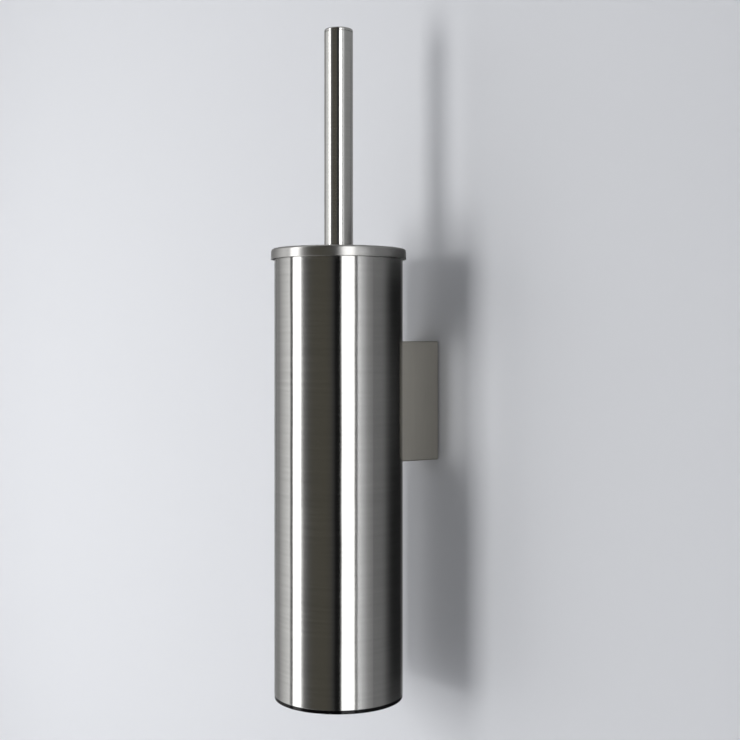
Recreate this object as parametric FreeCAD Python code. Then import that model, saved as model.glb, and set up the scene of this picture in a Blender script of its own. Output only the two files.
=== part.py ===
"""Wall-hung toilet brush and holder: a tall brushed-steel canister on a square wall bracket.

Frame: millimetres, +Z up, -Y away from the wall, +X to the right. The origin is on the wall's face, at
the middle of the bracket. The canister's axis is vertical and stands in front of the wall.

What carries what: the wall plate is screwed to the wall. The holder's hanger plate hangs on the wall
plate's two hooks, and a lock screw under the housing stops it from lifting. Two screws from inside the
canister clamp canister wall, housing and hanger plate together. The liner hangs by its flange on the
canister's rim, and the brush hangs by its lid on the liner's flange.
"""
import FreeCAD, Part
import math
import os

from FreeCAD import Vector

# ---------------------------------------------------------------- driving dimensions, in millimetres
# canister
CANISTER_OD = 76.0
CANISTER_WALL = 1.0
CANISTER_LENGTH = 258.5
CANISTER_EDGE_R = 0.3
AXIS_FROM_WALL = 62.0
BRACKET_ABOVE_BASE = 172.5

# base cap
BASE_RIM_HEIGHT = 2.1
BASE_RIM_INSET = 0.1
BASE_RIM_EDGE_R = 0.4
BASE_SPIGOT_HEIGHT = 10.0
BASE_WALL = 2.2
BASE_FLOOR = 2.0
BASE_RIB_HEIGHT = 3.0
BASE_RIB_WIDTH = 1.6
BASE_RIB_COUNT = 6

# liner
LINER_WALL = 1.4
LINER_FLOOR = 2.0
LINER_FLANGE = 1.5
LINER_FLANGE_OVERHANG = 0.2
LINER_COLLAR_DEPTH = 8.0
LINER_DRAFT = 0.8
LINER_CORNER_R = 6.0

# lid
LID_SHEET = 1.0
LID_HEIGHT = 6.2
LID_SHOULDER_R = 1.5
LID_FLARE = 0.3
LID_EDGE_R = 0.4

# lid seat
SEAT_WEB = 2.0
SEAT_RING_DEPTH = 5.0
SEAT_RING_WALL = 2.0
SEAT_BOSS_R = 9.0
SEAT_BOSS_HEIGHT = 10.5
SEAT_RIB_COUNT = 6
SEAT_RIB_WIDTH = 1.2
SEAT_RIB_HEIGHT = 3.0

# grip
GRIP_OD = 17.0
GRIP_WALL = 1.2
GRIP_LENGTH = 130.5
CAP_THICKNESS = 2.2
CAP_EDGE_R = 1.2
CAP_SPIGOT = 6.0
PLUG_LENGTH = 18.0
PLUG_RECESS = 0.5

# stem, with the same thread at both ends
STEM_D = 8.0
STEM_THREAD_D = 6.0
STEM_ENGAGEMENT = 13.0
STEM_LOW_THREAD = 12.0
WASHER_D = 14.0
WASHER_T = 1.0

# brush head
CORE_R = 10.0
CORE_NECK_R = 8.0
CORE_NECK_HEIGHT = 5.0
CORE_SHOULDER = 2.0
CORE_LENGTH = 71.0
INSERT_D = 9.0
INSERT_LENGTH = 13.0
RING_COUNT = 9
FIRST_RING = 10.0
LAST_RING_GAP = 0.6
TUFTS_PER_RING = 12
TUFT_ROOT_R = 1.35
TUFT_TIP_R = 3.2
TUFT_ROOT_DEPTH = 3.0
HEAD_BARREL = 2.5
TOE_TUFTS = 6
TOE_ANGLE = 42.0
TOE_LENGTH = 13.0
TIP_LENGTH = 8.0

# bracket housing
HOUSING_WIDTH = 30.0
HOUSING_HEIGHT = 72.0
HOUSING_WALL = 2.0
HOUSING_EDGE_R = 0.9
HOUSING_WEB = 3.0
HOUSING_LOCK_WALL = 3.5
HOUSING_WALL_GAP = 0.6
HOUSING_LEDGE = 3.5
BOSS_R = 4.0

# hanger plate and the screws that hold it
HANGER_T = 3.0
HANGER_CORNER_R = 1.0
BRACKET_SCREW_PITCH = 48.0
M4_D = 4.0
M4_HEAD_D = 7.6
M4_HEAD_HEIGHT = 2.2
M4_HEAD_RIM = 0.4
M4_SOCKET_AF = 2.5
M4_SOCKET_DEPTH = 1.3
SADDLE_D = 9.0
SADDLE_T = 1.0

# wall plate
PLATE_WIDTH = 22.0
PLATE_HEIGHT = 52.0
PLATE_T = 5.0
PLATE_CORNER_R = 3.0
WALL_HOLE_D = 4.5
WALL_HOLE_PITCH = 38.0
WALL_HEAD_D = 9.0
HOOK_WIDTH = 8.0
HOOK_ROOT = 3.0
HOOK_ARM = 3.0
HOOK_RISE = 5.0
HOOK_PITCH = 18.0
HOOK_CENTRE = -3.0
HOOK_CORNER_R = 1.0
LIFT_SPARE = 1.0

# lock screw
LOCK_D = 3.0
LOCK_FROM_WALL = 3.2
LOCK_SOCKET_AF = 1.5
LOCK_SOCKET_DEPTH = 2.0
LOCK_POINT_R = 0.8

# clearances
THREAD_GAP = 0.05
PRESS_GAP = 0.03
SCREW_GAP = 0.2
SLIDE_GAP = 0.3
LINER_GAP = 0.3
SCREW_HEAD_GAP = 0.5
SCREW_END_INSET = 0.7
HANGER_END_GAP = 1.5
LID_GAP = 0.9
LINER_FOOT_GAP = 2.0
HEAD_FLOOR_GAP = 6.0
BRISTLE_GAP = 0.8

# how far a cutting tool runs past the face that it cuts, and the chamfer at a thread's end
CUT_SPARE = 1.0
THREAD_CHAMFER = 0.5

# ---------------------------------------------------------------- places worked out from the sizes
AXIS_Y = -AXIS_FROM_WALL
CANISTER_R = CANISTER_OD / 2
BORE_R = CANISTER_R - CANISTER_WALL
TUBE_BOTTOM = -BRACKET_ABOVE_BASE
TUBE_TOP = TUBE_BOTTOM + CANISTER_LENGTH

# the stack on the canister's rim: liner flange, lid seat, lid
FLANGE_TOP = TUBE_TOP + LINER_FLANGE
SEAT_TOP = FLANGE_TOP + SEAT_WEB
LID_TOP = SEAT_TOP + LID_SHEET
LID_R = CANISTER_R + LID_GAP + LID_SHEET
BOSS_BOTTOM = SEAT_TOP - SEAT_BOSS_HEIGHT
STEM_TOP = BOSS_BOTTOM - WASHER_T
STEM_THREAD_R = STEM_THREAD_D / 2
STEM_TIP = LID_TOP + PLUG_RECESS + STEM_ENGAGEMENT

# screw heads stand inside the canister, and the liner clears them
SCREW_SEAT = AXIS_FROM_WALL - BORE_R + SADDLE_T
HEAD_TOP_R = BORE_R - SADDLE_T - M4_HEAD_HEIGHT
LINER_BODY_R = HEAD_TOP_R - SCREW_HEAD_GAP
LINER_FOOT_R = LINER_BODY_R - LINER_DRAFT
LINER_COLLAR_R = BORE_R - LINER_GAP
LINER_MOUTH_R = LINER_COLLAR_R - LINER_WALL
LINER_BOTTOM = TUBE_BOTTOM + BASE_FLOOR + BASE_RIB_HEIGHT + LINER_FOOT_GAP

# the brush head, from the liner's floor upwards
HEAD_R = LINER_FOOT_R - LINER_WALL - BRISTLE_GAP
CORE_BOTTOM = LINER_BOTTOM + LINER_FLOOR + HEAD_FLOOR_GAP + TIP_LENGTH
STEM_BOTTOM = CORE_BOTTOM + CORE_LENGTH
RING_PITCH = (CORE_LENGTH - CORE_R - FIRST_RING - LAST_RING_GAP) / (RING_COUNT - 1)

# the bracket, from the wall outwards
HANGER_HALF = HOUSING_HEIGHT / 2 - HOUSING_LOCK_WALL - HANGER_END_GAP
HANGER_BACK = PLATE_T + SLIDE_GAP
HANGER_FRONT = HANGER_BACK + HANGER_T
ARM_BACK = HANGER_FRONT + SLIDE_GAP
ARM_FRONT = ARM_BACK + HOOK_ARM
WEB_BACK = AXIS_FROM_WALL - CANISTER_R - HOUSING_WEB
HOOK_TOPS = [HOOK_CENTRE + side * HOOK_PITCH / 2 + HOOK_ROOT / 2 for side in (-1, 1)]
LIFT = HOOK_RISE + LIFT_SPARE
SLOT_HEIGHT = HOOK_ROOT + HOOK_RISE + LIFT_SPARE + SLIDE_GAP
SCREW_HEIGHTS = [side * BRACKET_SCREW_PITCH / 2 for side in (-1, 1)]
LOCK_TIP = -PLATE_HEIGHT / 2


# ---------------------------------------------------------------- shape helpers
def outline(corners, place):
    """Closed wire through corners (a, b) or (a, b, fillet radius); place turns (a, b) into a Vector."""
    ends = []
    count = len(corners)
    for i, corner in enumerate(corners):
        here = Vector(corner[0], corner[1], 0)
        radius = corner[2] if len(corner) > 2 else 0.0
        before = (Vector(*corners[i - 1][:2], 0) - here).normalize()
        after = (Vector(*corners[(i + 1) % count][:2], 0) - here).normalize()
        if radius == 0.0:
            ends.append((here, None, here))
            continue
        half = before.getAngle(after) / 2
        reach = radius / math.tan(half)
        middle = (before + after).normalize() * (radius / math.sin(half) - radius)
        ends.append((here + before * reach, here + middle, here + after * reach))
    edges = []
    for i, (start, middle, stop) in enumerate(ends):
        if middle is not None:
            edges.append(Part.Arc(*[place(p.x, p.y) for p in (start, middle, stop)]).toShape())
        nxt = ends[(i + 1) % count][0]
        if (nxt - stop).Length > 1e-6:
            edges.append(Part.LineSegment(place(stop.x, stop.y), place(nxt.x, nxt.y)).toShape())
    return Part.Wire(edges)


def turned(corners, y=AXIS_Y):
    """Solid of revolution about an upright line, by default the canister's axis, from (radius, z)."""
    face = Part.Face(outline(corners, lambda r, z: Vector(r, y, z)))
    return face.revolve(Vector(0, y, 0), Vector(0, 0, 1), 360)


def turned_out(corners, z):
    """Solid of revolution about the line that leaves the wall at height z, from (radius, distance)."""
    face = Part.Face(outline(corners, lambda r, out: Vector(r, -out, z)))
    return face.revolve(Vector(0, 0, z), Vector(0, 1, 0), 360)


def rod_up(radius, low, high, y=AXIS_Y):
    """Upright cylinder between two heights."""
    return Part.makeCylinder(radius, high - low, Vector(0, y, low), Vector(0, 0, 1))


def rod_out(radius, near, far, z):
    """Cylinder that points away from the wall, from one distance to another, on the bracket's middle."""
    return Part.makeCylinder(radius, far - near, Vector(0, -near, z), Vector(0, -1, 0))


def block(width, near, far, low, high):
    """Box about the bracket's middle that spans two distances from the wall and two heights."""
    return Part.makeBox(width, far - near, high - low, Vector(-width / 2, -far, low))


def plate(width, near, far, low, high, corner_r):
    """Block whose four edges that point away from the wall are rounded."""
    solid = block(width, near, far, low, high)
    along = [e for e in solid.Edges if abs(e.tangentAt(e.FirstParameter).y) > 0.9]
    return solid.makeFillet(corner_r, along)


def hexagon(centre, direction, radius):
    """Six corners about centre, square to direction, at radius."""
    side = direction.cross(Vector(0, 0, 1))
    if side.Length < 1e-6:
        side = Vector(1, 0, 0)
    side.normalize()
    rise = side.cross(direction).normalize()
    turns = [math.radians(60 * i) for i in range(6)]
    return [centre + side * radius * math.cos(t) + rise * radius * math.sin(t) for t in turns]


def flat_face(points):
    """Flat face with its corners at points."""
    return Part.Face(Part.makePolygon(points + points[:1]))


def hex_bar(rings):
    """Six-sided bar with flat faces through rings of six corners each."""
    faces = [flat_face(rings[0]), flat_face(rings[-1])]
    for low, high in zip(rings, rings[1:]):
        for i in range(6):
            faces.append(flat_face([low[i - 1], low[i], high[i], high[i - 1]]))
    return Part.makeSolid(Part.makeShell(faces))


def hex_prism(start, direction, length, radius):
    """Six-sided bar from start along direction, with its corners at radius."""
    end = start + direction * length
    return hex_bar([hexagon(start, direction, radius), hexagon(end, direction, radius)])


def socket_cut(start, direction, depth, across_flats):
    """Hexagon socket from start into a screw along direction."""
    return hex_prism(start, direction, depth, across_flats / math.sqrt(3))


def spokes(count, width, inner, outer, low, high):
    """Radial ribs about the canister's axis, evenly spread."""
    ribs = []
    for i in range(count):
        rib = Part.makeBox(outer - inner, width, high - low, Vector(inner, AXIS_Y - width / 2, low))
        rib.rotate(Vector(0, AXIS_Y, 0), Vector(0, 0, 1), 360 * i / count)
        ribs.append(rib)
    return ribs


# ---------------------------------------------------------------- holder
def canister_shell():
    """Brushed-steel tube, open at both ends, with two screw holes at its back."""
    tube = turned([
        (BORE_R, TUBE_BOTTOM),
        (CANISTER_R, TUBE_BOTTOM, CANISTER_EDGE_R),
        (CANISTER_R, TUBE_TOP, CANISTER_EDGE_R),
        (BORE_R, TUBE_TOP, CANISTER_EDGE_R),
    ])
    near = AXIS_FROM_WALL - CANISTER_R - CUT_SPARE
    holes = [rod_out(M4_D / 2 + SCREW_GAP, near, AXIS_FROM_WALL, z) for z in SCREW_HEIGHTS]
    return tube.cut(holes)


def base_cap():
    """Black moulded cap: its spigot is pressed into the tube, and its rim shows below the steel."""
    rim_r = CANISTER_R - BASE_RIM_INSET
    spigot_r = BORE_R - PRESS_GAP
    well_r = spigot_r - BASE_WALL
    rim_bottom = TUBE_BOTTOM - BASE_RIM_HEIGHT
    floor_top = TUBE_BOTTOM + BASE_FLOOR
    cap = turned([
        (0, TUBE_BOTTOM),
        (well_r, TUBE_BOTTOM),
        (well_r, rim_bottom),
        (rim_r, rim_bottom, BASE_RIM_EDGE_R),
        (rim_r, TUBE_BOTTOM),
        (spigot_r, TUBE_BOTTOM),
        (spigot_r, TUBE_BOTTOM + BASE_SPIGOT_HEIGHT, BASE_WALL / 4),
        (well_r, TUBE_BOTTOM + BASE_SPIGOT_HEIGHT),
        (well_r, floor_top),
        (0, floor_top),
    ])
    ribs = spokes(
        BASE_RIB_COUNT, BASE_RIB_WIDTH, 0, well_r + BASE_WALL / 2, floor_top, floor_top + BASE_RIB_HEIGHT
    )
    return cap.fuse(ribs).removeSplitter()


def bracket_housing():
    """Hollow square block: saddle-shaped where it meets the canister, and open towards the wall."""
    half = HOUSING_HEIGHT / 2
    front = AXIS_FROM_WALL - math.sqrt(CANISTER_R**2 - (HOUSING_WIDTH / 2) ** 2) + CANISTER_WALL
    body = plate(HOUSING_WIDTH, HOUSING_WALL_GAP, front, -half, half, HOUSING_EDGE_R)
    body = body.cut(rod_up(CANISTER_R, -half - CUT_SPARE, half + CUT_SPARE))
    inside = HOUSING_WIDTH - 2 * HOUSING_WALL
    low, high = -half + HOUSING_LOCK_WALL, half - HOUSING_WALL
    ledge = HANGER_HALF - HOUSING_LEDGE
    recess = block(inside, 0, HANGER_FRONT, low, high)
    cavity = block(inside, HANGER_FRONT, WEB_BACK, -ledge, ledge)
    bosses = [rod_out(BOSS_R, HANGER_FRONT, WEB_BACK, z) for z in SCREW_HEIGHTS]
    holes = [rod_out(M4_D / 2 + SCREW_GAP, HANGER_FRONT, front, z) for z in SCREW_HEIGHTS]
    lock = rod_up(LOCK_D / 2 + THREAD_GAP, -half - CUT_SPARE, low + CUT_SPARE, -LOCK_FROM_WALL)
    body = body.cut([recess, cavity.cut(bosses)])
    return body.cut(holes + [lock])


def hanger_plate():
    """Steel plate clamped in the housing: its two slots hang on the wall plate's hooks."""
    width = HOUSING_WIDTH - 2 * HOUSING_WALL - 2 * SLIDE_GAP
    solid = plate(width, HANGER_BACK, HANGER_FRONT, -HANGER_HALF, HANGER_HALF, HANGER_CORNER_R)
    slot_width = HOOK_WIDTH + 2 * SLIDE_GAP
    near, far = HANGER_BACK - CUT_SPARE, HANGER_FRONT + CUT_SPARE
    slots = [block(slot_width, near, far, top - SLOT_HEIGHT, top) for top in HOOK_TOPS]
    threads = [rod_out(M4_D / 2 + THREAD_GAP, near, far, z) for z in SCREW_HEIGHTS]
    return solid.cut(slots + threads)


def saddle_washers():
    """Two washers between screw head and canister wall, curved on one side to the tube's bore."""
    washers = []
    for z in SCREW_HEIGHTS:
        ring = turned_out([
            (M4_D / 2 + SCREW_GAP, SCREW_SEAT - 2 * SADDLE_T),
            (SADDLE_D / 2, SCREW_SEAT - 2 * SADDLE_T),
            (SADDLE_D / 2, SCREW_SEAT),
            (M4_D / 2 + SCREW_GAP, SCREW_SEAT),
        ], z)
        washers.append(ring.common(rod_up(BORE_R, z - SADDLE_D, z + SADDLE_D)))
    return washers


def bracket_screws():
    """Two button-head screws from inside the canister into the hanger plate."""
    screws = []
    end = HANGER_BACK + SCREW_END_INSET
    top = SCREW_SEAT + M4_HEAD_HEIGHT
    for z in SCREW_HEIGHTS:
        screw = turned_out([
            (0, end),
            (M4_D / 2 - THREAD_CHAMFER, end),
            (M4_D / 2, end + THREAD_CHAMFER),
            (M4_D / 2, SCREW_SEAT),
            (M4_HEAD_D / 2, SCREW_SEAT),
            (M4_HEAD_D / 2, top, M4_HEAD_HEIGHT - M4_HEAD_RIM),
            (0, top),
        ], z)
        socket = socket_cut(Vector(0, -top, z), Vector(0, 1, 0), M4_SOCKET_DEPTH, M4_SOCKET_AF)
        screws.append(screw.cut(socket))
    return screws


# ---------------------------------------------------------------- wall side
def hook(top):
    """L-shaped hook that stands out of the wall plate; its root's upper face is at top."""
    low = top - HOOK_ROOT
    side = outline(
        [
            (PLATE_T, low),
            (ARM_FRONT, low, HOOK_CORNER_R),
            (ARM_FRONT, top + HOOK_RISE, HOOK_CORNER_R),
            (ARM_BACK, top + HOOK_RISE, HOOK_CORNER_R / 2),
            (ARM_BACK, top),
            (PLATE_T, top),
        ],
        lambda out, z: Vector(-HOOK_WIDTH / 2, -out, z),
    )
    return Part.Face(side).extrude(Vector(HOOK_WIDTH, 0, 0))


def wall_plate():
    """Cast plate with two countersunk wall-screw holes and two hooks."""
    half = PLATE_HEIGHT / 2
    solid = plate(PLATE_WIDTH, 0, PLATE_T, -half, half, PLATE_CORNER_R)
    solid = solid.fuse([hook(top) for top in HOOK_TOPS]).removeSplitter()
    sink = (WALL_HEAD_D - WALL_HOLE_D) / 2
    holes = [
        turned_out([
            (0, -CUT_SPARE),
            (WALL_HOLE_D / 2, -CUT_SPARE),
            (WALL_HOLE_D / 2, PLATE_T - sink),
            (WALL_HEAD_D / 2, PLATE_T),
            (WALL_HEAD_D / 2, PLATE_T + CUT_SPARE),
            (0, PLATE_T + CUT_SPARE),
        ], side * WALL_HOLE_PITCH / 2)
        for side in (-1, 1)
    ]
    return solid.cut(holes)


def lock_screw():
    """Grub screw through the housing's underside: its point stands against the wall plate."""
    bottom = -HOUSING_HEIGHT / 2
    body = turned([
        (0, bottom),
        (LOCK_D / 2, bottom),
        (LOCK_D / 2, LOCK_TIP - LOCK_D / 2 + LOCK_POINT_R),
        (LOCK_POINT_R, LOCK_TIP),
        (0, LOCK_TIP),
    ], -LOCK_FROM_WALL)
    start = Vector(0, -LOCK_FROM_WALL, bottom)
    return body.cut(socket_cut(start, Vector(0, 0, 1), LOCK_SOCKET_DEPTH, LOCK_SOCKET_AF))


# ---------------------------------------------------------------- liner
def liner_cup():
    """Moulded drip cup: a flange that hangs on the rim, a collar in the bore, and a tapered body."""
    step = TUBE_TOP - LINER_COLLAR_DEPTH
    flange_r = CANISTER_R + LINER_FLANGE_OVERHANG
    return turned([
        (0, LINER_BOTTOM),
        (LINER_FOOT_R, LINER_BOTTOM, LINER_CORNER_R),
        (LINER_BODY_R, step),
        (LINER_COLLAR_R, step, LINER_WALL / 2),
        (LINER_COLLAR_R, TUBE_TOP),
        (flange_r, TUBE_TOP),
        (flange_r, FLANGE_TOP, LINER_FLANGE / 2),
        (LINER_MOUTH_R, FLANGE_TOP, LINER_FLANGE / 2),
        (LINER_MOUTH_R, step + LINER_WALL, LINER_WALL / 2),
        (LINER_BODY_R - LINER_WALL, step + LINER_WALL, LINER_WALL / 2),
        (LINER_FOOT_R - LINER_WALL, LINER_BOTTOM + LINER_FLOOR, LINER_CORNER_R - LINER_WALL),
        (0, LINER_BOTTOM + LINER_FLOOR),
    ])


# ---------------------------------------------------------------- brush
def lid():
    """Pressed steel lid: rounded shoulder and a slightly flared skirt with a rounded edge, clamped on the stem."""
    bottom = LID_TOP - LID_HEIGHT
    skirt_r = LID_R + LID_FLARE
    return turned([
        (STEM_THREAD_R + SCREW_GAP, LID_TOP),
        (LID_R, LID_TOP, LID_SHOULDER_R),
        (skirt_r, bottom, LID_EDGE_R),
        (skirt_r - LID_SHEET, bottom, LID_EDGE_R),
        (LID_R - LID_SHEET, SEAT_TOP, LID_SHOULDER_R - LID_SHEET),
        (STEM_THREAD_R + SCREW_GAP, SEAT_TOP),
    ])


def lid_seat():
    """Moulded insert under the lid: its brim rests on the liner and its ring centres the lid in it."""
    hole_r = STEM_THREAD_R + SCREW_GAP
    ring_r = LINER_MOUTH_R - LINER_GAP
    ring_in = ring_r - SEAT_RING_WALL
    brim_r = LID_R - LID_SHOULDER_R - LINER_GAP
    web_bottom = SEAT_TOP - SEAT_WEB
    seat = turned([
        (hole_r, SEAT_TOP),
        (hole_r, BOSS_BOTTOM),
        (SEAT_BOSS_R, BOSS_BOTTOM, SEAT_RIB_WIDTH / 2),
        (SEAT_BOSS_R, web_bottom),
        (ring_in, web_bottom),
        (ring_in, web_bottom - SEAT_RING_DEPTH),
        (ring_r, web_bottom - SEAT_RING_DEPTH, SEAT_RING_WALL / 2.5),
        (ring_r, web_bottom),
        (brim_r, web_bottom),
        (brim_r, SEAT_TOP),
    ])
    ribs = spokes(
        SEAT_RIB_COUNT, SEAT_RIB_WIDTH, SEAT_BOSS_R - SEAT_RIB_WIDTH, ring_in + SEAT_RING_WALL / 2,
        web_bottom - SEAT_RIB_HEIGHT, web_bottom,
    )
    return seat.fuse(ribs).removeSplitter()


def grip_tube():
    """Brushed-steel tube that the hand holds; it stands on the lid."""
    outer = GRIP_OD / 2
    top = LID_TOP + GRIP_LENGTH - CAP_THICKNESS
    return turned([
        (outer - GRIP_WALL, LID_TOP),
        (outer, LID_TOP),
        (outer, top),
        (outer - GRIP_WALL, top),
    ])


def grip_cap():
    """Steel cap with a rounded rim; its spigot is pressed into the tube's upper end."""
    top = LID_TOP + GRIP_LENGTH
    joint = top - CAP_THICKNESS
    spigot_r = GRIP_OD / 2 - GRIP_WALL - PRESS_GAP
    return turned([
        (0, joint - CAP_SPIGOT),
        (spigot_r, joint - CAP_SPIGOT, GRIP_WALL / 2),
        (spigot_r, joint),
        (GRIP_OD / 2, joint),
        (GRIP_OD / 2, top, CAP_EDGE_R),
        (0, top),
    ])


def grip_plug():
    """Threaded plug pressed into the tube's lower end; the stem screws into it."""
    outer = GRIP_OD / 2 - GRIP_WALL - PRESS_GAP
    low = LID_TOP + PLUG_RECESS
    return turned([
        (STEM_THREAD_R + THREAD_GAP, low),
        (outer, low),
        (outer, low + PLUG_LENGTH),
        (STEM_THREAD_R + THREAD_GAP, low + PLUG_LENGTH),
    ])


def stem_rod():
    """Steel rod from lid to brush head, stepped down to a thread at each end."""
    chamfer = THREAD_CHAMFER
    return turned([
        (0, STEM_BOTTOM - STEM_LOW_THREAD),
        (STEM_THREAD_R - chamfer, STEM_BOTTOM - STEM_LOW_THREAD),
        (STEM_THREAD_R, STEM_BOTTOM - STEM_LOW_THREAD + chamfer),
        (STEM_THREAD_R, STEM_BOTTOM),
        (STEM_D / 2, STEM_BOTTOM),
        (STEM_D / 2, STEM_TOP),
        (STEM_THREAD_R, STEM_TOP),
        (STEM_THREAD_R, STEM_TIP - chamfer),
        (STEM_THREAD_R - chamfer, STEM_TIP),
        (0, STEM_TIP),
    ])


def stem_washer():
    """Steel washer between the stem's shoulder and the lid seat's boss."""
    return turned([
        (STEM_THREAD_R + SCREW_GAP, STEM_TOP),
        (WASHER_D / 2, STEM_TOP),
        (WASHER_D / 2, BOSS_BOTTOM),
        (STEM_THREAD_R + SCREW_GAP, BOSS_BOTTOM),
    ])


def head_insert():
    """Brass threaded bush moulded into the brush head."""
    return turned([
        (STEM_THREAD_R + THREAD_GAP, STEM_BOTTOM - INSERT_LENGTH),
        (INSERT_D / 2, STEM_BOTTOM - INSERT_LENGTH),
        (INSERT_D / 2, STEM_BOTTOM),
        (STEM_THREAD_R + THREAD_GAP, STEM_BOTTOM),
    ])


def tuft_layout():
    """Where each tuft leaves the core: (point on the core's surface, direction, length)."""
    places = []
    middle = (RING_COUNT - 1) / 2
    for ring in range(RING_COUNT):
        z = STEM_BOTTOM - FIRST_RING - ring * RING_PITCH
        off_centre = (ring - middle) / middle if middle else 0.0
        reach = HEAD_R - HEAD_BARREL * off_centre**2
        for i in range(TUFTS_PER_RING):
            turn = 2 * math.pi * (i + (ring % 2) / 2) / TUFTS_PER_RING
            out = Vector(math.cos(turn), math.sin(turn), 0)
            places.append((Vector(0, AXIS_Y, z) + out * CORE_R, out, reach - CORE_R))
    dome = Vector(0, AXIS_Y, CORE_BOTTOM + CORE_R)
    slope = math.radians(TOE_ANGLE)
    for i in range(TOE_TUFTS):
        turn = 2 * math.pi * (i + 0.5) / TOE_TUFTS
        out = Vector(
            math.cos(turn) * math.cos(slope), math.sin(turn) * math.cos(slope), -math.sin(slope)
        )
        places.append((dome + out * CORE_R, out, TOE_LENGTH))
    places.append((dome - Vector(0, 0, CORE_R), Vector(0, 0, -1), TIP_LENGTH))
    return places


def brush_core():
    """Moulded core with a neck, a domed toe, a socket for the insert and a pocket for every tuft."""
    neck = STEM_BOTTOM - CORE_NECK_HEIGHT
    core = turned([
        (0, CORE_BOTTOM),
        (CORE_R, CORE_BOTTOM, CORE_R),
        (CORE_R, neck - CORE_SHOULDER, CORE_SHOULDER / 2),
        (CORE_NECK_R, neck),
        (CORE_NECK_R, STEM_BOTTOM, CORE_SHOULDER / 2),
        (0, STEM_BOTTOM),
    ])
    socket = rod_up(INSERT_D / 2, STEM_BOTTOM - INSERT_LENGTH, STEM_BOTTOM + CUT_SPARE)
    depth = TUFT_ROOT_DEPTH
    pockets = [
        hex_prism(point - out * depth, out, depth + CUT_SPARE, TUFT_ROOT_R + THREAD_GAP)
        for point, out, _ in tuft_layout()
    ]
    return core.cut([socket] + pockets)


def bristle_tufts():
    """Tufts of bristles: each is straight in its pocket and splays towards its tip."""
    tufts = []
    for point, out, length in tuft_layout():
        root = hexagon(point - out * TUFT_ROOT_DEPTH, out, TUFT_ROOT_R)
        mouth = hexagon(point, out, TUFT_ROOT_R)
        tip = hexagon(point + out * length, out, TUFT_TIP_R)
        tufts.append(hex_bar([root, mouth, tip]))
    return tufts


# ---------------------------------------------------------------- export
NODES = {
    "wall_plate": wall_plate,
    "lock_screw": lock_screw,
    "hanger_plate": hanger_plate,
    "bracket_housing": bracket_housing,
    "saddle_washers": saddle_washers,
    "bracket_screws": bracket_screws,
    "canister_shell": canister_shell,
    "base_cap": base_cap,
    "liner_cup": liner_cup,
    "lid": lid,
    "lid_seat": lid_seat,
    "grip_tube": grip_tube,
    "grip_cap": grip_cap,
    "grip_plug": grip_plug,
    "stem_rod": stem_rod,
    "stem_washer": stem_washer,
    "head_insert": head_insert,
    "brush_core": brush_core,
    "bristle_tufts": bristle_tufts,
}


def main():
    """Builds every node and writes parts/NODE.step."""
    os.makedirs("parts", exist_ok=True)
    for name, make in NODES.items():
        made = make()
        solids = made if isinstance(made, list) else made.Solids
        shape = solids[0] if len(solids) == 1 else Part.makeCompound(solids)
        assert shape.isValid(), name
        shape.exportStep(f"parts/{name}.step")
        print(f"{name}: {len(solids)} solid(s), {shape.Volume / 1000:.2f} cm3")


main()
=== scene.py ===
"""Looks of a wall-hung toilet brush and holder in brushed stainless steel, and the studio round it.

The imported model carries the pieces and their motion. This script dresses them: steel with its brushing,
moulded plastics, screw threads, and a brush head made of single bristles. All lengths are in metres.
"""
import logging
import math
import random
from dataclasses import dataclass, field
from enum import Enum
from typing import Iterable, Union

import bmesh
import bpy
from bpy.types import Material, Mesh, Node, NodeSocket, NodeTree, Object
from mathutils import Matrix, Vector


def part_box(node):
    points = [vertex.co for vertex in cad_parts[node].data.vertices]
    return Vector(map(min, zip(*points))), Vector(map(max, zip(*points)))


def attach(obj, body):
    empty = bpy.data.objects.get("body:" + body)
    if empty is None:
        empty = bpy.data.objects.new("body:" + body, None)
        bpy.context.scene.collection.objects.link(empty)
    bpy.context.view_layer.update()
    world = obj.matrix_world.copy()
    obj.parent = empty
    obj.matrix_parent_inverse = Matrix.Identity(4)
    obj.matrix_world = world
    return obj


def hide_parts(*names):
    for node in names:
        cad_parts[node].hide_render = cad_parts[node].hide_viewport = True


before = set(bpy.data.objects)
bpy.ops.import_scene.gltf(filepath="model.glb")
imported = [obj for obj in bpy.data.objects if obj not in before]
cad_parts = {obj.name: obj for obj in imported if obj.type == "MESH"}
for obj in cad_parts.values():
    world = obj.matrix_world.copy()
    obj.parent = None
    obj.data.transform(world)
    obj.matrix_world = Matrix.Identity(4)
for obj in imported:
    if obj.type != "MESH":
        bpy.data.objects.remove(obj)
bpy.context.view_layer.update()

LOG = logging.getLogger("brush_holder")
MM = 0.001
UP = Vector((0.0, 0.0, 1.0))
UPSIDE_DOWN = Matrix.Rotation(math.pi, 4, "X")
GOLDEN_TURN = 2.39996  # radians between neighbours in an even spiral
MIX_SHARE, MIX_FIRST, MIX_SECOND, MIX_RESULT = 0, 6, 7, 2  # sockets of a Mix node for colours

Triple = tuple[float, float, float]
Colour = Triple
Socket = NodeSocket
Source = Union[Socket, float]
Tone = Union[Socket, Colour]
BMesh = bmesh.types.BMesh
Tuft = tuple[Vector, Vector, float]


class Body(Enum):
    """The bodies that new pieces ride on."""

    HOLDER = "holder"
    LOCK_SCREW = "lock_screw"
    BRUSH = "brush"


class Grain(Enum):
    """Which way the brushing of a steel face runs, with the name of its node group."""

    ROUND = "round_grain"
    UPRIGHT = "upright_grain"


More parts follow.
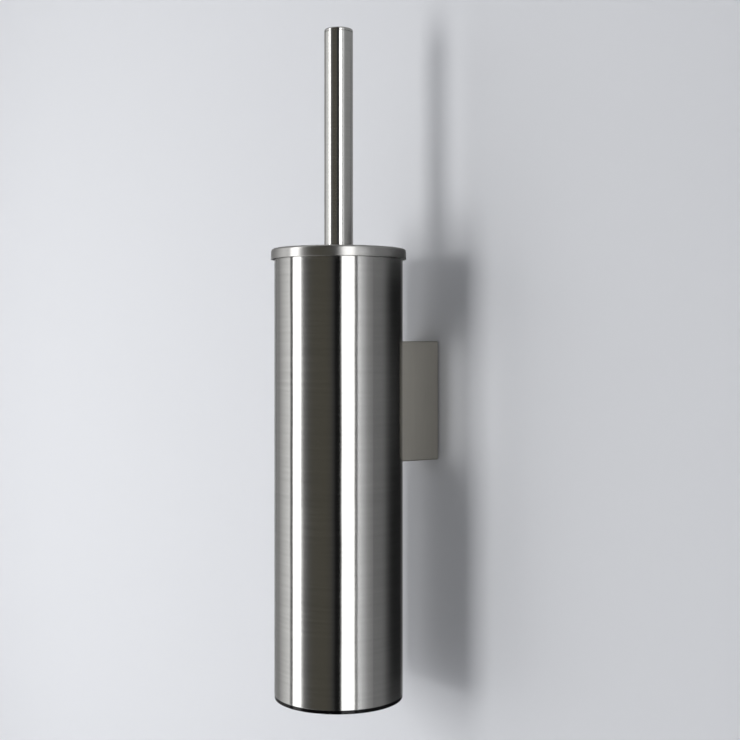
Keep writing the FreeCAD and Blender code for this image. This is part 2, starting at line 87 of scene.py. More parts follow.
# -------------------- node graphs
class Graph:
    """Adds nodes to one node tree and links them."""

    def __init__(self, tree: NodeTree) -> None:
        """Keeps the tree that nodes are added to."""
        self.tree = tree

    def add(self, kind: str, **settings: object) -> Node:
        """Adds a node.

        Args:
            kind: The node's type, in full.
            settings: Attributes to set on the node.

        Returns:
            The new node.
        """
        node = self.tree.nodes.new(kind)
        for name, value in settings.items():
            setattr(node, name, value)
        return node

    def feed(self, value: Source, socket: Socket) -> None:
        """Links a value to a socket, or sets it there if it is a number or colour.

        Args:
            value: The value.
            socket: The input that it goes to.
        """
        if isinstance(value, Socket):
            self.tree.links.new(value, socket)
        else:
            socket.default_value = value

    def join(self, kind: str, *values: Source, **settings: object) -> Socket:
        """Adds a node and feeds its inputs in order.

        Args:
            kind: The node's type, in full.
            values: Numbers, or sockets to link, one for each input.
            settings: Attributes to set on the node.

        Returns:
            The node's first output.
        """
        node = self.add(kind, **settings)
        for socket, value in zip(node.inputs, values):
            self.feed(value, socket)
        return node.outputs[0]

    def sum(self, operation: str, *values: Source) -> Socket:
        """Adds a Math node that works on the values and returns its result."""
        return self.join("ShaderNodeMath", *values, operation=operation)

    def apart(self, place: Socket) -> tuple[Socket, Socket, Socket]:
        """Adds a Separate XYZ node and returns its three values."""
        return tuple(self.join("ShaderNodeSeparateXYZ", place).node.outputs)

    def radius(self, x: Socket, y: Socket) -> Socket:
        """Adds nodes that give the distance from the upright axis."""
        squares = self.sum("ADD", self.sum("MULTIPLY", x, x), self.sum("MULTIPLY", y, y))
        return self.sum("SQRT", squares)

    def share(self, value: Socket, start: float, end: float) -> Socket:
        """Adds a Map Range node that rises from 0 at a start to 1 at an end."""
        return self.join("ShaderNodeMapRange", value, start, end)

    def spread(self, value: Source, low: float, high: float) -> Socket:
        """Adds a Map Range node that spreads a value from 0…1 over low…high, and does so past 1 too."""
        return self.join("ShaderNodeMapRange", value, 0.0, 1.0, low, high, clamp=False)

    def blend(self, share: Source, first: Tone, second: Tone, way: str = "MIX") -> Socket:
        """Adds a Mix node for colours.

        Args:
            share: How much of the second colour there is.
            first: The first colour.
            second: The second colour.
            way: The Mix node's blend type.

        Returns:
            The mixed colour.
        """
        node = self.add("ShaderNodeMix", data_type="RGBA", blend_type=way)
        self.feed(share, node.inputs[MIX_SHARE])
        for colour, socket in ((first, MIX_FIRST), (second, MIX_SECOND)):
            self.feed(colour if isinstance(colour, Socket) else (*colour, 1.0), node.inputs[socket])
        return node.outputs[MIX_RESULT]

    def ramp(self, source: Socket, stops: list[tuple[float, Colour]]) -> Socket:
        """Adds a colour ramp.

        Args:
            source: The value that picks the colour.
            stops: Pairs of a position and a colour, in order.

        Returns:
            The ramp's colour.
        """
        node = self.add("ShaderNodeValToRGB")
        elements = node.color_ramp.elements
        while len(elements) < len(stops):
            elements.new(1.0)
        for element, (position, colour) in zip(elements, stops):
            element.position = position
            element.color = (*colour, 1.0)
        self.feed(source, node.inputs[0])
        return node.outputs[0]

    def noise(self, place: Socket, scale: Source, detail: float = 2.0, roughness: float = 0.5) -> Socket:
        """Adds a noise texture.

        Args:
            place: The coordinates that it reads.
            scale: Its scale, per metre where the coordinates are metres.
            detail: Its number of octaves.
            roughness: How strong the finer octaves are.

        Returns:
            The noise's value.
        """
        node = self.add("ShaderNodeTexNoise")
        self.feed(place, node.inputs["Vector"])
        self.feed(scale, node.inputs["Scale"])
        node.inputs["Detail"].default_value = detail
        node.inputs["Roughness"].default_value = roughness
        return node.outputs["Fac"]

    def stretched(self, place: Socket, scale: Triple, turn: Triple = (0.0, 0.0, 0.0)) -> Socket:
        """Adds a Mapping node.

        Args:
            place: The coordinates.
            scale: The scale along each axis.
            turn: The turn about each axis, in radians.

        Returns:
            The new coordinates.
        """
        node = self.add("ShaderNodeMapping")
        self.feed(place, node.inputs["Vector"])
        node.inputs["Rotation"].default_value = turn
        node.inputs["Scale"].default_value = scale
        return node.outputs["Vector"]


class Effects:
    """The node groups that several finishes share, each built once."""

    def __init__(self) -> None:
        """Builds every group."""
        self.grain = {grain: self._grain(grain) for grain in Grain}
        self.skin = self._skin()

    @staticmethod
    def _group(name: str, inputs: Iterable[str], outputs: Iterable[str]) -> tuple[Graph, Node, Node]:
        """Starts a group whose first input is a place.

        Args:
            name: The group's name.
            inputs: Its other inputs, all of them values.
            outputs: Its outputs, all of them values.

        Returns:
            The group's graph, its input node and its output node.
        """
        tree = bpy.data.node_groups.new(name, "ShaderNodeTree")
        tree.interface.new_socket(name="Place", in_out="INPUT", socket_type="NodeSocketVector")
        for way, labels in (("INPUT", inputs), ("OUTPUT", outputs)):
            for label in labels:
                tree.interface.new_socket(name=label, in_out=way, socket_type="NodeSocketFloat")
        graph = Graph(tree)
        return graph, graph.add("NodeGroupInput"), graph.add("NodeGroupOutput")

    def _grain(self, grain: Grain) -> NodeTree:
        """Builds brushing marks: hairlines, broader streaks, scratches, a slow cloud and a faint swell.

        Args:
            grain: Which way the marks run.

        Returns:
            The group.
        """
        graph, given, out = self._group(
            grain.value, ("Hairs", "Streaks"), ("Hair", "Streak", "Cloud", "Swell", "Scratch"))
        place = given.outputs["Place"]
        x, y, z = graph.apart(place)
        if grain is Grain.ROUND:
            across = graph.sum("ADD", z, graph.radius(x, y))
            along = (graph.sum("MULTIPLY", x, 16.0), graph.sum("MULTIPLY", y, 16.0))
        else:
            across = graph.sum("ADD", x, y)
            along = (graph.sum("MULTIPLY", z, 40.0), graph.sum("MULTIPLY", graph.sum("SUBTRACT", x, y), 9.0))
        for label, source in (("Hair", given.outputs["Hairs"]), ("Streak", given.outputs["Streaks"])):
            marks = graph.join("ShaderNodeCombineXYZ", *along, graph.sum("MULTIPLY", across, source))
            detail = (2.0, 0.5) if label == "Hair" else (4.0, 0.75)
            graph.feed(graph.noise(marks, 1.0, *detail), out.inputs[label])
        graph.feed(graph.noise(place, 24.0, 3.0, 0.55), out.inputs["Cloud"])
        graph.feed(graph.noise(graph.stretched(place, (1.0, 1.0, 0.7)), 34.0, 1.0), out.inputs["Swell"])
        fine = graph.noise(graph.stretched(place, (1.0, 1.0, 0.035), (0.16, 0.21, 0.0)), 1100.0, 1.0)
        graph.feed(graph.ramp(fine, [(0.72, (0.0,) * 3), (0.78, (1.0,) * 3)]), out.inputs["Scratch"])
        return graph.tree

    def _skin(self) -> NodeTree:
        """Builds a moulding's fine skin, the slow shade in it where it cooled, and its rubbing.

        Returns:
            The group.
        """
        graph, given, out = self._group("moulded_skin", ("Pebble",), ("Height", "Shade", "Rub"))
        place = given.outputs["Place"]
        graph.feed(graph.noise(place, given.outputs["Pebble"], 3.0), out.inputs["Height"])
        graph.feed(graph.noise(place, 34.0, 3.0, 0.6), out.inputs["Shade"])
        rub = graph.stretched(place, (1.0, 1.0, 0.12))
        graph.feed(graph.noise(rub, 420.0, 4.0, 0.7), out.inputs["Rub"])
        return graph.tree


# -------------------- finishes
def new_material(name: str) -> tuple[Material, Graph]:
    """Starts a material.

    Args:
        name: Its name.

    Returns:
        The material and its empty graph.
    """
    material = bpy.data.materials.new(name)
    material.use_nodes = True
    material.node_tree.nodes.clear()
    return material, Graph(material.node_tree)


@dataclass(frozen=True)
class Finish:
    """What every finish has: a name, a colour and the effects that it draws on."""

    name: str
    colour: Colour
    effects: Effects = field(repr=False)
    centre: Vector = field(repr=False)

    def start(self) -> tuple[Material, Graph, Node, Socket]:
        """Starts the material.

        Returns:
            The material, its graph, its shader, and the place on the piece measured from the centre.
        """
        material, graph = new_material(self.name)
        material.diffuse_color = (*self.colour, 1.0)
        shader = graph.add("ShaderNodeBsdfPrincipled")
        graph.feed(shader.outputs[0], graph.add("ShaderNodeOutputMaterial").inputs["Surface"])
        where = graph.add("ShaderNodeTexCoord")
        centred = graph.add("ShaderNodeMapping")
        centred.inputs["Location"].default_value = -self.centre
        graph.feed(where.outputs["Object"], centred.inputs["Vector"])
        return material, graph, shader, centred.outputs["Vector"]

    def tinted(self, amount: float) -> Colour:
        """Returns the colour made lighter, or darker where amount is under 1."""
        return tuple(min(1.0, part * amount) for part in self.colour)

    @staticmethod
    def relief(graph: Graph, shader: Node, height: Socket, depth: float) -> None:
        """Raises a height on the shader's normal, over any relief that it has.

        Args:
            graph: The material's graph.
            shader: The shader.
            height: The height, between 0 and 1.
            depth: How deep 1 is, in metres.
        """
        bump = graph.add("ShaderNodeBump")
        bump.inputs["Strength"].default_value = 1.0
        bump.inputs["Distance"].default_value = depth
        graph.feed(height, bump.inputs["Height"])
        for earlier in shader.inputs["Normal"].links:
            graph.feed(earlier.from_socket, bump.inputs["Normal"])
        graph.feed(bump.outputs[0], shader.inputs["Normal"])


@dataclass(frozen=True)
class BrushedSteel(Finish):
    """Stainless steel with brushing marks that blur reflections across the grain only."""

    grain: Grain = Grain.ROUND
    roughness: float = 0.17
    pull: float = 1.0
    hairs: float = 4200.0
    streaks: float = 620.0
    contrast: float = 0.22
    depth: float = 1.8e-6
    swell: float = 1.5e-4
    scratches: float = 0.08

    def material(self) -> Material:
        """Builds the material.

        Returns:
            The material.
        """
        material, graph, shader, place = self.start()
        marks = graph.add("ShaderNodeGroup", node_tree=self.effects.grain[self.grain])
        graph.feed(place, marks.inputs["Place"])
        marks.inputs["Hairs"].default_value = self.hairs
        marks.inputs["Streaks"].default_value = self.streaks
        hair, streak, cloud, swell, scratch = marks.outputs
        tone = graph.sum("ADD", graph.sum("MULTIPLY", streak, 0.75), graph.sum("MULTIPLY", cloud, 0.25))
        graph.feed(
            graph.blend(tone, self.tinted(1 - self.contrast), self.tinted(1 + self.contrast)),
            shader.inputs["Base Color"],
        )
        rough = graph.sum(
            "ADD", graph.spread(streak, self.roughness - 0.03, self.roughness + 0.03),
            graph.spread(cloud, -0.025, 0.025),
        )
        scuffed = graph.sum("ADD", rough, graph.sum("MULTIPLY", scratch, self.scratches))
        graph.feed(scuffed, shader.inputs["Roughness"])
        shader.inputs["Metallic"].default_value = 1.0
        shader.inputs["Anisotropic"].default_value = self.pull
        shader.inputs["Anisotropic Rotation"].default_value = 0.0 if self.grain is Grain.UPRIGHT else 0.25
        self.relief(graph, shader, swell, self.swell)
        self.relief(graph, shader, hair, self.depth)
        return material


@dataclass(frozen=True)
class Skinned(Finish):
    """A finish with a fine skin, a slow shade and faint rubbing along the way that the piece slides."""

    roughness: float = 0.42
    pebble: float = 2600.0
    depth: float = 8.0e-6
    contrast: float = 0.04
    play: float = 0.08
    metallic: float = 0.0
    shine: float = 0.5
    glow: float = 0.0
    glow_depth: float = 2.0 * MM

    def material(self) -> Material:
        """Builds the material.

        Returns:
            The material.
        """
        material, graph, shader, place = self.start()
        skin = graph.add("ShaderNodeGroup", node_tree=self.effects.skin)
        graph.feed(place, skin.inputs["Place"])
        skin.inputs["Pebble"].default_value = self.pebble
        height, shade, rub = skin.outputs
        tone = graph.blend(shade, self.tinted(1 - self.contrast), self.tinted(1 + self.contrast))
        graph.feed(tone, shader.inputs["Base Color"])
        rough = graph.spread(rub, self.roughness - self.play, self.roughness + self.play)
        graph.feed(rough, shader.inputs["Roughness"])
        self.relief(graph, shader, height, self.depth)
        shader.inputs["Metallic"].default_value = self.metallic
        shader.inputs["Specular IOR Level"].default_value = self.shine
        shader.inputs["Subsurface Weight"].default_value = self.glow
        shader.inputs["Subsurface Scale"].default_value = self.glow_depth
        return material


@dataclass(frozen=True)
class MouldedPlastic(Skinned):
    """Injection-moulded plastic."""


@dataclass(frozen=True)
class BareMetal(Skinned):
    """Cast, turned or rolled metal without a grain that shows."""

    roughness: float = 0.3
    pebble: float = 1800.0
    depth: float = 6.0e-6
    contrast: float = 0.05
    play: float = 0.06
    metallic: float = 1.0


@dataclass(frozen=True)
class BristleFibre(Finish):
    """Nylon filament, with painted shade that makes it a little darker towards its roots near the head's axis, and
    each one of a slightly other tone.
    """

    # radii from the head's axis over which the painted shade at the roots fades out
    core_r: float = 0.010
    tip_r: float = 0.030
    roughness: float = 0.38

    def material(self) -> Material:
        """Builds the material.

        Returns:
            The material.
        """
        material, graph, shader, place = self.start()
        x, y, _ = graph.apart(place)
        # painted shade: darker near the head's axis, where the roots sit deep in the tuft
        out = graph.share(graph.radius(x, y), self.core_r, self.tip_r)
        tone = graph.noise(place, 900.0, 2.0, 0.6)
        light = graph.blend(tone, self.tinted(0.93), self.tinted(1.04))
        graph.feed(graph.blend(out, self.tinted(0.88), light), shader.inputs["Base Color"])
        graph.feed(graph.spread(tone, self.roughness - 0.08, self.roughness + 0.08), shader.inputs["Roughness"])
        self.relief(graph, shader, graph.noise(place, 5200.0, 1.0), 4.0e-6)
        return material


# -------------------- shaping
def turned(outline: list[tuple], steps: int = 192, closed: bool = True) -> BMesh:
    """Spins an outline round the Z axis.

    Args:
        outline: Corners as (radius, height) or (radius, height, length that its rounding takes of each side).
        steps: Number of steps of the spin.
        closed: Whether the outline runs back to its first corner.

    Returns:
        The turned mesh, with its normals outwards.
    """
    mesh = bmesh.new()
    verts = [mesh.verts.new((corner[0], 0.0, corner[1])) for corner in outline]
    for first, second in zip(verts, verts[1:] + (verts[:1] if closed else [])):
        mesh.edges.new((first, second))
    for corner, vert in list(zip(outline, verts)):
        if len(corner) > 2:
            bmesh.ops.bevel(
                mesh, geom=[vert], offset=corner[2], offset_type="OFFSET", segments=5, profile=0.5,
                affect="VERTICES", material=-1,
            )
    bmesh.ops.spin(
        mesh, geom=mesh.verts[:] + mesh.edges[:], cent=(0, 0, 0), axis=UP, angle=2 * math.pi, steps=steps,
        use_merge=True,
    )
    settle(mesh)
    bmesh.ops.remove_doubles(mesh, verts=mesh.verts, dist=1e-6)
    bmesh.ops.recalc_face_normals(mesh, faces=mesh.faces)
    return mesh


def outward(turn: float, fall: float = 0.0) -> Vector:
    """Returns the direction at an angle round the Z axis that falls by another angle."""
    return Vector((math.cos(turn) * math.cos(fall), math.sin(turn) * math.cos(fall), -math.sin(fall)))


def half_width(node: str) -> float:
    """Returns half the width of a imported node, which is the outer radius of a round one."""
    low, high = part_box(node)
    return (high[0] - low[0]) / 2


def settle(mesh: BMesh) -> None:
    """Sorts edges and faces by their corners, since some operators leave them in an order that varies.

    Args:
        mesh: The mesh.
    """
    mesh.verts.index_update()
    for parts in (mesh.edges, mesh.faces):
        ranked = sorted(parts, key=lambda part: sorted(vert.index for vert in part.verts))
        ranks = {part: rank for rank, part in enumerate(ranked)}
        parts.sort(key=ranks.get)
        parts.index_update()


def close_ends(mesh: BMesh) -> None:
    """Fills every open loop of the mesh and points its faces outwards."""
    bmesh.ops.holes_fill(mesh, edges=[edge for edge in mesh.edges if edge.is_boundary], sides=0)
    bmesh.ops.recalc_face_normals(mesh, faces=mesh.faces)


def add_to(target: BMesh, source: BMesh, place: Matrix = Matrix()) -> None:
    """Moves a mesh into another one.

    Args:
        target: The mesh that grows.
        source: The mesh that is added, and freed.
        place: Where it goes.
    """
    bmesh.ops.transform(source, matrix=place, verts=source.verts)
    passing = bpy.data.meshes.new("passing")
    source.to_mesh(passing)
    source.free()
    target.from_mesh(passing)
    bpy.data.meshes.remove(passing)


@dataclass(frozen=True)
class Thread:
    """A screw thread: its outer radius, its pitch, and its depth as a share of the pitch."""

    radius: float
    pitch: float
    depth: float = 0.6
    steps: int = 28

    def cut(self, length: float, lead: float) -> BMesh:
        """Builds a threaded rod that stands on the origin along Z.

        Args:
            length: Its length.
            lead: Length of the lead-in at the upper end.

        Returns:
            The closed mesh.
        """
        mesh = bmesh.new()
        root = self.radius - self.depth * self.pitch
        corners = ((root, 0.0), (self.radius, 0.42), (self.radius, 0.58), (root, 1.0))
        verts = [mesh.verts.new((r, 0.0, (share - 1) * self.pitch)) for r, share in corners]
        edges = [mesh.edges.new(pair) for pair in zip(verts, verts[1:])]
        turns = math.ceil(length / self.pitch) + 2
        bmesh.ops.spin(
            mesh, geom=verts + edges, cent=(0, 0, 0), axis=UP, dvec=UP * self.pitch / self.steps,
            angle=2 * math.pi * turns, steps=self.steps * turns,
        )
        settle(mesh)
        bmesh.ops.remove_doubles(mesh, verts=mesh.verts, dist=1e-6)
        for level, way in ((0.0, -UP), (length, UP)):
            bmesh.ops.bisect_plane(
                mesh, geom=mesh.verts[:] + mesh.edges[:] + mesh.faces[:], plane_co=UP * level, plane_no=way,
                clear_outer=True,
            )
        for vert in mesh.verts:
            limit = self.radius - max(0.0, vert.co.z - (length - lead))
            around = math.hypot(vert.co.x, vert.co.y)
            if around > limit:
                vert.co.xy *= limit / around
        close_ends(mesh)
        return mesh


def hex_socket(mesh: BMesh, across: float, depth: float) -> None:
    """Sinks a hexagon socket into the highest face of a mesh that stands round the Z axis.

    Args:
        mesh: The mesh.
        across: The socket's width across its flats.
        depth: Its depth.
    """
    top = max(mesh.faces, key=lambda face: (round(face.calc_center_median().z, 6), len(face.verts)))
    for sink in (0.0, depth):
        made = bmesh.ops.extrude_face_region(mesh, geom=[top])["geom"]
        bmesh.ops.delete(mesh, geom=[top], context="FACES_ONLY")
        top = next(item for item in made if isinstance(item, bmesh.types.BMFace))
        for vert in top.verts:
            turn = math.atan2(vert.co.y, vert.co.x)
            off_flat = (turn + math.pi / 6) % (math.pi / 3) - math.pi / 6
            reach = across / 2 / math.cos(off_flat)
            vert.co = (reach * math.cos(turn), reach * math.sin(turn), vert.co.z - sink)
    settle(mesh)
    bmesh.ops.recalc_face_normals(mesh, faces=mesh.faces)


def placed(name: str, mesh: BMesh, material: Material) -> Object:
    """Makes an object of a mesh.

    Args:
        name: The object's name.
        mesh: Its mesh, which is freed.
        material: Its finish.

    Returns:
        The object, in the scene.
    """
    data = bpy.data.meshes.new(name)
    mesh.to_mesh(data)
    mesh.free()
    data.materials.append(material)
    item = bpy.data.objects.new(name, data)
    bpy.context.scene.collection.objects.link(item)
    return item


def make_piece(
    name: str, mesh: BMesh, body: Body, material: Material, stands_for: Iterable[str],
    sharp: float = 30.0,
) -> None:
    """Makes a piece of a mesh, dresses it and lets it ride on its body.

    Args:
        name: The piece's name.
        mesh: Its mesh, which is freed.
        body: The body that it rides on.
        material: Its finish.
        stands_for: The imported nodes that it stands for.
        sharp: Edges past this angle, in degrees, stay sharp.
    """
    piece = placed(name, mesh, material)
    piece.data.shade_smooth()
    piece.data.set_sharp_from_angle(angle=math.radians(sharp))
    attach(piece, body.value)
    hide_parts(*stands_for)
    LOG.info("%s: %d faces on %s", name, len(piece.data.polygons), body.value)


def dress(node: str, material: Material) -> None:
    """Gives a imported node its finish.

    Args:
        node: The node's name.
        material: The finish, set on all of its slots.
    """
    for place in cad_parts[node].material_slots:
        place.material = material
    LOG.info("%s: dressed in %s", node, material.name)


# -------------------- the object
@dataclass
class SubAssembly:
    """What each sub-assembly needs: the shared effects and the upright axis."""

    effects: Effects
    axis: Vector

    def steel(self, name: str, colour: Colour = (0.60, 0.595, 0.58), **settings: object) -> Material:
        """Returns a brushed steel centred on the axis."""
        return BrushedSteel(name, colour, self.effects, self.axis, **settings).material()

    def bare(self, name: str, colour: Colour, **settings: object) -> Material:
        """Returns a bare metal centred on the axis."""
        return BareMetal(name, colour, self.effects, self.axis, **settings).material()

    def fastener(self, name: str) -> Material:
        """Returns the plain stainless steel of screws and washers."""
        return self.bare(name, (0.62, 0.61, 0.59), roughness=0.26, depth=2e-6)

    def plastic(self, name: str, colour: Colour, **settings: object) -> Material:
        """Returns a moulded plastic centred on the axis."""
        return MouldedPlastic(name, colour, self.effects, self.axis, **settings).material()


@dataclass
class Canister(SubAssembly):
    """The canister tube and the cap pressed into its foot."""

    def build(self) -> None:
        """Dresses the tube and its base cap."""
        dress("canister_shell", self.steel("canister_steel_brushed"))
        dress("base_cap", self.plastic(
            "base_cap_black", (0.003, 0.003, 0.0033), roughness=0.08, depth=1.2e-6, contrast=0.1, shine=0.2))


@dataclass
class Bracket(SubAssembly):
    """The wall plate with its hooks, the housing that hangs on it, and their screws."""

    screw_thread: Thread = Thread(2.0 * MM, 0.7 * MM)
    screw_seat: float = 26.0 * MM
    screw_socket: float = 2.5 * MM
    socket_depth: float = 1.3 * MM
    lock_thread: Thread = Thread(1.5 * MM, 0.5 * MM)
    lock_lead: float = 0.6 * MM
    lock_socket: float = 1.5 * MM
    lock_socket_depth: float = 2.0 * MM

    def button_screw(self, tip: float, head_r: float, head_top: float) -> BMesh:
        """Builds a button-head screw, seated at height 0 with its head up.

        Args:
            tip: Height of its tip, under 0.
            head_r: Radius of its head.
            head_top: Height of its head.

        Returns:
            The screw's mesh.
        """
        land = self.screw_socket * 0.72
        head = turned(
            [(0.4 * head_r, 0.0), (head_r, 0.0), (head_r, 0.18 * head_top), (0.93 * head_r, 0.52 * head_top),
             (0.76 * head_r, 0.84 * head_top), (land, head_top)],
            steps=48, closed=False,
        )
        close_ends(head)
        hex_socket(head, self.screw_socket, self.socket_depth)
        inside = 0.1 * MM
        shank = self.screw_thread.cut(inside - tip, 0.5 * MM)
        add_to(head, shank, Matrix.Translation((0, 0, inside)) @ UPSIDE_DOWN)
        return head

    def build(self) -> None:
        """Dresses the bracket's nodes and builds its screws."""
        dress("wall_plate", self.bare("wall_plate_cast", (0.58, 0.58, 0.585), roughness=0.46, depth=1.4e-5))
        dress("hanger_plate", self.steel(
            "hanger_plate_rolled", grain=Grain.UPRIGHT, roughness=0.34, pull=0.4, contrast=0.05))
        dress("bracket_housing", self.steel(
            "bracket_housing_satin", colour=(0.60, 0.58, 0.53), grain=Grain.UPRIGHT, roughness=0.55, pull=0.25,
            contrast=0.08))
        fastener = self.fastener("fastener_stainless")
        dress("saddle_washers", fastener)

        low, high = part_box("bracket_screws")
        head_r = half_width("bracket_screws")
        screws = bmesh.new()
        lie = Matrix.Rotation(math.pi / 2, 4, "X")
        for height in (low[2] + head_r, high[2] - head_r):
            screw = self.button_screw(-(high[1] + self.screw_seat), head_r, -self.screw_seat - low[1])
            add_to(screws, screw, Matrix.Translation((0, -self.screw_seat, height)) @ lie)
        make_piece("button_head_screws", screws, Body.HOLDER, fastener, ("bracket_screws",))

        low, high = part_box("lock_screw")
        grub = self.lock_thread.cut(high[2] - low[2], self.lock_lead)
        bmesh.ops.transform(grub, matrix=UPSIDE_DOWN, verts=grub.verts)
        hex_socket(grub, self.lock_socket, self.lock_socket_depth)
        bmesh.ops.transform(
            grub, matrix=Matrix.Translation((0, (low[1] + high[1]) / 2, low[2])) @ UPSIDE_DOWN,
            verts=grub.verts)
        make_piece("grub_screw", grub, Body.LOCK_SCREW, fastener, ("lock_screw",))


@dataclass
class Liner(SubAssembly):
    """The drip cup that hangs in the canister."""

    def build(self) -> None:
        """Dresses the cup."""
        dress("liner_cup", self.plastic("liner_white", (0.84, 0.84, 0.83), roughness=0.34, glow=0.06))


@dataclass
class Brush(SubAssembly):
    """The lid with its grip, the stem under it, and the brush head."""

    cap_height: float = 2.2 * MM
    cap_step: float = 1.23 * MM
    cap_groove: float = 0.32 * MM
    cap_groove_depth: float = 0.9 * MM
    stem_thread: Thread = Thread(3.0 * MM, 1.0 * MM)
    stem_r: float = 4.0 * MM
    lower_thread: float = 12.0 * MM
    upper_thread: float = 26.0 * MM
    rings: int = 9
    tufts_per_ring: int = 12
    first_ring: float = 10.0 * MM
    last_ring_gap: float = 0.6 * MM
    pocket_r: float = 1.35 * MM
    barrel: float = 2.5 * MM
    toe_tufts: int = 6
    toe_slope: float = math.radians(42.0)
    toe_length: float = 13.0 * MM
    tip_length: float = 8.0 * MM
    bristles: int = 54
    bristle_r: float = 0.16 * MM
    fan: float = 5.4 * MM
    lean: float = 0.4 * MM
    curl: float = 0.35 * MM
    sway: float = 0.05
    sunk: float = 1.6 * MM
    templates: int = 5

    def build(self) -> None:
        """Dresses and builds the brush from its lid down."""
        dress("lid", self.steel("lid_steel_brushed", roughness=0.3, pull=0.6))
        dress("grip_tube", self.grip_steel("grip_steel_brushed"))
        self.build_cap()
        dress("lid_seat", self.plastic("lid_seat_black", (0.025, 0.025, 0.026), roughness=0.4))
        dress("brush_core", self.plastic("brush_core_white", (0.82, 0.82, 0.80), roughness=0.4, glow=0.05))
        fastener = self.fastener("stem_fastener_stainless")
        dress("stem_washer", fastener)
        dress("grip_plug", fastener)
        self.build_stem()
        self.build_insert()
        self.build_bristles()

    def grip_steel(self, name: str) -> Material:
        """Returns the grip's steel, a little brighter than the canister's."""
        return self.steel(name, colour=(0.72, 0.715, 0.695), hairs=5200.0, streaks=900.0)

    def build_cap(self) -> None:
        """Builds the grip's end cap, with a fine groove where it meets the tube."""
        low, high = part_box("grip_cap")
        outer, top, foot = half_width("grip_cap"), high[2], low[2]
        joint, spigot = top - self.cap_height, outer - self.cap_step
        floor = outer - self.cap_groove_depth
        cap = turned([
            (0.0, foot), (spigot, foot, 0.5 * MM), (spigot, joint), (floor, joint),
            (floor, joint + self.cap_groove), (outer, joint + self.cap_groove, 0.05 * MM), (outer, top, 1.1 * MM),
            (0.0, top),
        ], 96, False)
        bmesh.ops.translate(cap, vec=self.axis, verts=cap.verts)
        make_piece("end_cap", cap, Body.BRUSH, self.grip_steel("grip_cap_brushed"), ("grip_cap",))

    def build_stem(self) -> None:
        """Builds the stem: a drawn rod with a thread at each end."""
        low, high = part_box("stem_rod")
        start, end = low[2] + self.lower_thread, high[2] - self.upper_thread
        ease = 0.5 * MM
        rod = turned([(0.0, start), (self.stem_r, start, ease), (self.stem_r, end, ease), (0.0, end)], 64, False)
        inside = 0.4 * MM
        upper = self.stem_thread.cut(self.upper_thread + inside, ease)
        add_to(rod, upper, Matrix.Translation((0, 0, end - inside)))
        lower = self.stem_thread.cut(self.lower_thread + inside, ease)
        add_to(rod, lower, Matrix.Translation((0, 0, start + inside)) @ UPSIDE_DOWN)
        bmesh.ops.translate(rod, vec=self.axis, verts=rod.verts)
        steel = self.bare("stem_drawn_steel", (0.62, 0.61, 0.60), roughness=0.2, depth=1.5e-6)
        make_piece("stem", rod, Body.BRUSH, steel, ("stem_rod",))

    def build_insert(self) -> None:
        """Builds the knurled brass insert in the head."""
        low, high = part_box("head_insert")
        outer = half_width("head_insert")
        bore = self.stem_thread.radius + 0.05 * MM
        middle, groove = (low[2] + high[2]) / 2, 0.8 * MM
        steps = 72
        sleeve = turned(
            [(bore, low[2]), (outer - 0.3 * MM, low[2]), (outer, low[2] + 0.5 * MM), (outer, middle - groove),
             (outer - 0.5 * MM, middle - groove / 2), (outer - 0.5 * MM, middle + groove / 2),
             (outer, middle + groove), (outer, high[2] - 0.4 * MM), (outer - 0.2 * MM, high[2]), (bore, high[2])],
            steps,
        )
        for vert in sleeve.verts:
            around = math.hypot(vert.co.x, vert.co.y)
            knurl = round(math.atan2(vert.co.y, vert.co.x) / (2 * math.pi / steps)) % 2
            if knurl and around > outer - 0.1 * MM:
                vert.co.xy *= 1 - 0.2 * MM / around
        bmesh.ops.translate(sleeve, vec=self.axis, verts=sleeve.verts)
        brass = self.bare("insert_turned_brass", (0.72, 0.55, 0.27), roughness=0.28, depth=2e-6)
        make_piece("knurled_insert", sleeve, Body.BRUSH, brass, ("head_insert",), sharp=12.0)

    def tuft_template(self, dice: random.Random) -> Mesh:
        """Builds one tuft that stands on the origin along Z, one unit long and fanned out at its tip.

        Args:
            dice: The source of its small irregularities.

        Returns:
            The tuft's mesh.
        """
        tuft = bmesh.new()
        for number in range(self.bristles):
            known = len(tuft.verts)
            made = bmesh.ops.create_cone(
                tuft, cap_ends=True, segments=5, radius1=self.bristle_r, radius2=self.bristle_r * 0.8, depth=1.0,
                matrix=Matrix.Translation((0, 0, 0.5)))["verts"]
            sides = dict.fromkeys(edge for vert in made for edge in vert.link_edges)
            tall = [edge for edge in sides if abs(edge.verts[0].co.z - edge.verts[1].co.z) > 0.5]
            bmesh.ops.subdivide_edges(tuft, edges=tall, cuts=4)
            share, turn = math.sqrt((number + 0.5) / self.bristles), number * GOLDEN_TURN
            heading = outward(turn)
            root = heading * share * (self.pocket_r - self.bristle_r)
            lean = Vector((dice.gauss(0, self.lean), dice.gauss(0, self.lean), 0.0))
            tip = heading * share * self.fan * dice.uniform(0.75, 1.1) + lean
            curl = Vector((dice.gauss(0, self.curl), dice.gauss(0, self.curl), 0.0))
            length = 0.985 - 0.03 * share * share + dice.uniform(-0.015, 0.015)
            for vert in tuft.verts[known:]:
                along = vert.co.z
                vert.co += root + (tip - root) * along**1.25 + curl * math.sin(math.pi * along)
                vert.co.z = along * length
        mesh = bpy.data.meshes.new("tuft_template")
        tuft.to_mesh(mesh)
        tuft.free()
        return mesh

